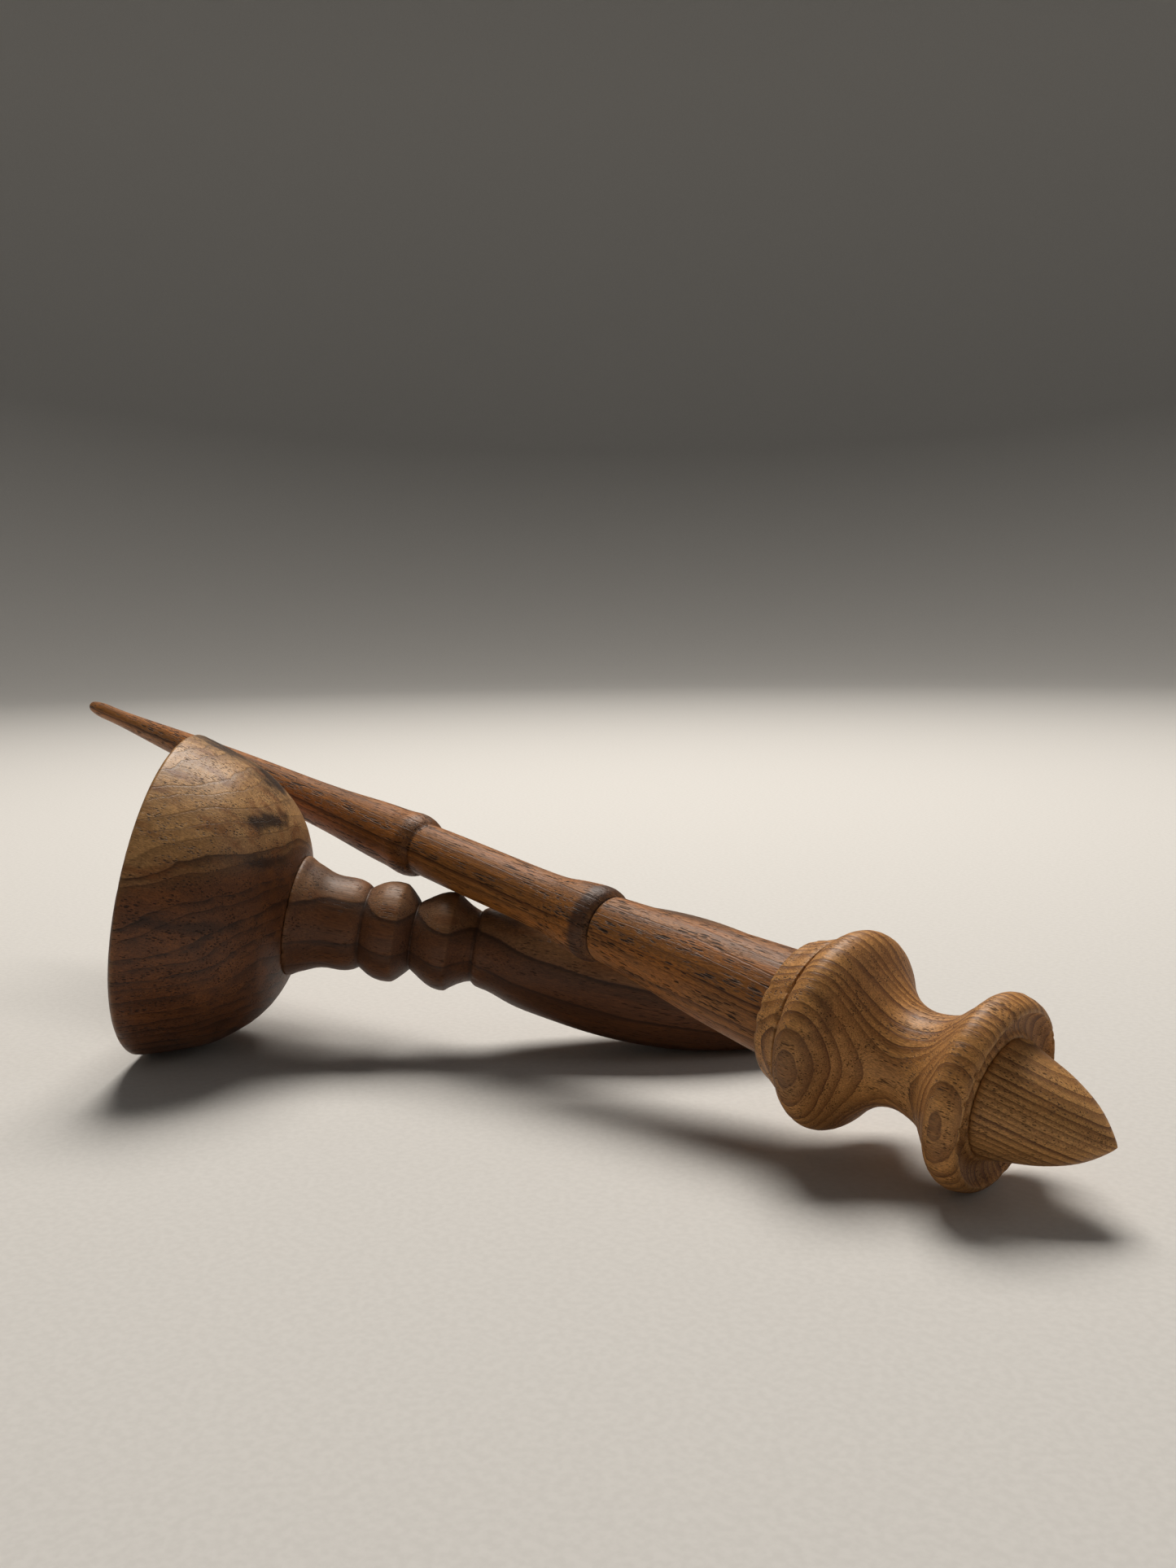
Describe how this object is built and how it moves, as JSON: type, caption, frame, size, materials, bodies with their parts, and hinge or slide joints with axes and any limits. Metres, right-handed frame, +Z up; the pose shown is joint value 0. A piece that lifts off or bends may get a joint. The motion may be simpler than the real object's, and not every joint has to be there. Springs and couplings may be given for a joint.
{
  "type": "supported spindle with spinning bowl",
  "caption": "Turned wooden supported spindle with a double-flanged whorl and pointed nose, leaning on its handled spinning bowl.",
  "frame": {"origin": "centre of the bounding box at the floor, with the bowl lying on its side and the spindle leaning across its stem", "axes": "+Z up; the spindle lies in a plane of constant Y with its nose towards +X and its thin tip up towards -X; the bowl's handle points towards +X +Y"},
  "size_m": [0.285, 0.1136, 0.0669],
  "materials": {
    "cup_wood": "satin oiled walnut, open pores",
    "handle_wood": "satin oiled walnut, polished by handling",
    "shaft_wood": "satin oiled walnut with long open pores",
    "whorl_wood": "satin oiled pale walnut with visible growth rings",
    "nose_wood": "satin oiled pale walnut, fine straight grain"
  },
  "bodies": {
    "bowl": {"cup": "cup_wood", "handle": "handle_wood"},
    "spindle": {"shaft": "shaft_wood", "whorl": "whorl_wood", "nose": "nose_wood"}
  },
  "joints": [
    {"name": "spindle_spin", "type": "hinge", "parent": "bowl", "child": "spindle", "pos_m": [0.14248, 0.00858, 0.01188], "axis": [-0.9826, 0, 0.1857], "continuous": true}
  ]
}
